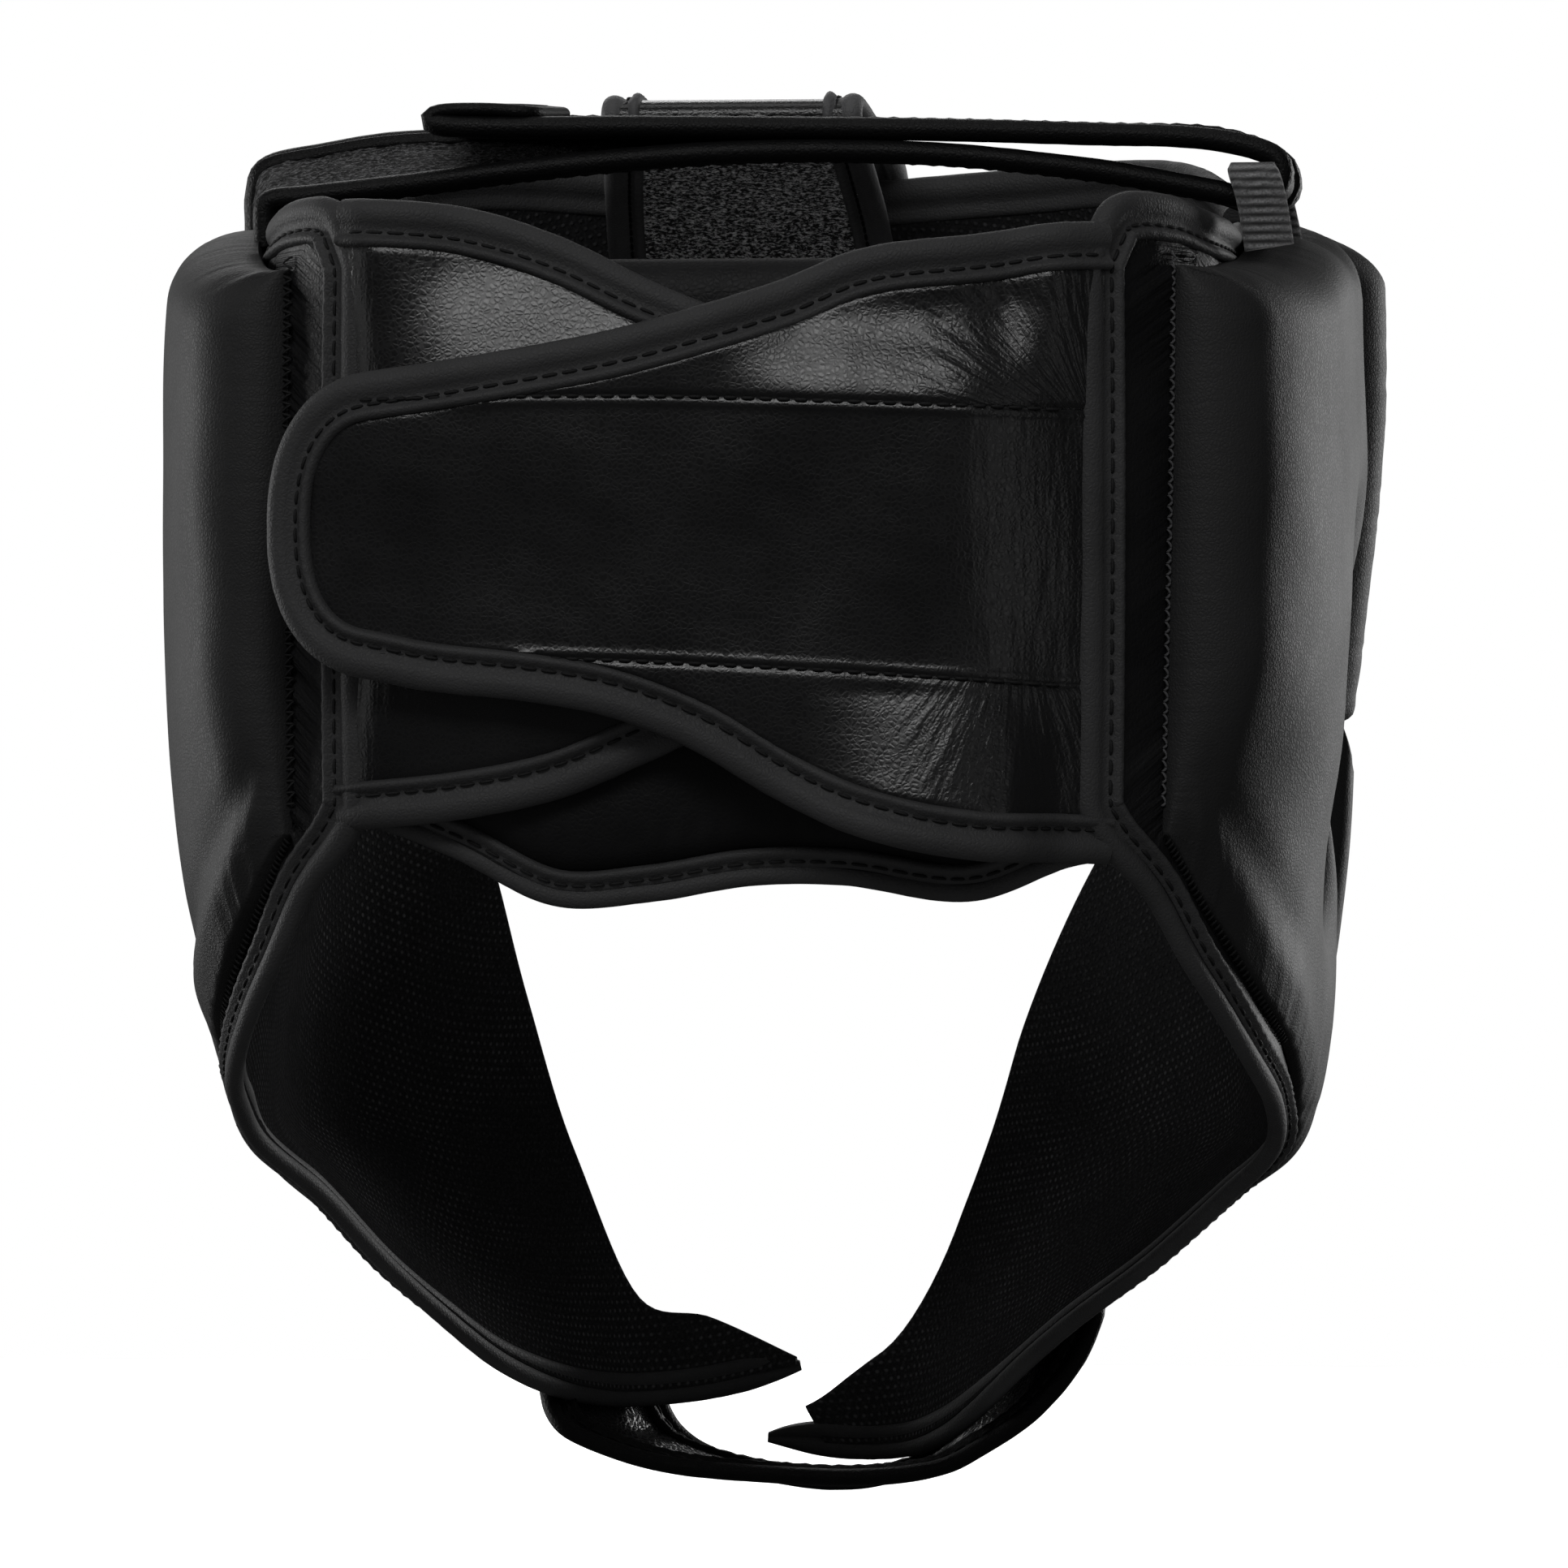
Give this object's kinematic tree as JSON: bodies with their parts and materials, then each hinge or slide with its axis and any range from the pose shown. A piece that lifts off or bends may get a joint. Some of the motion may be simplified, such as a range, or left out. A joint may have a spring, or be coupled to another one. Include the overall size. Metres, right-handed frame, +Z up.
{
  "type": "sparring headgear",
  "caption": "Padded leather sparring headgear with brow, side and cheek pads, open face and ears, closed by straps behind the head, over the crown and under the chin.",
  "frame": {"origin": "middle of the head space, half way between its sides, at the height of the upper ear", "axes": "+Z up, -Y the way the wearer's face looks, +X the wearer's left"},
  "size_m": [0.2145, 0.2283, 0.2543],
  "materials": {
    "panel_leather": "black fine-grained leather, satin",
    "pad_leather": "black smooth leather over foam, matte satin",
    "strap_leather": "black grained leather, semi-gloss, creased",
    "binding_leather": "black rolled leather binding, satin",
    "elastic_tape": "dark grey ribbed woven elastic"
  },
  "bodies": {
    "root": {"side_base_left": "panel_leather", "side_pad_left": "pad_leather", "cheek_pad_left": "pad_leather", "side_binding_left": "binding_leather", "ear_binding_left": "binding_leather", "side_base_right": "panel_leather", "side_pad_right": "pad_leather", "cheek_pad_right": "pad_leather", "side_binding_right": "binding_leather", "ear_binding_right": "binding_leather", "forehead_base": "panel_leather", "forehead_pad": "pad_leather", "forehead_binding": "binding_leather", "nape_pad": "panel_leather", "nape_binding": "binding_leather", "rear_wing": "strap_leather", "rear_wing_binding": "binding_leather", "rear_strap": "strap_leather", "rear_strap_binding": "binding_leather", "cross_strap": "strap_leather", "cross_strap_binding": "binding_leather", "elastic_loop": "elastic_tape", "front_strap": "strap_leather", "front_strap_binding_left": "binding_leather", "front_strap_binding_right": "binding_leather", "chin_strap": "strap_leather", "chin_strap_binding_rear": "binding_leather", "chin_strap_binding_front": "binding_leather"}
  },
  "joints": []
}
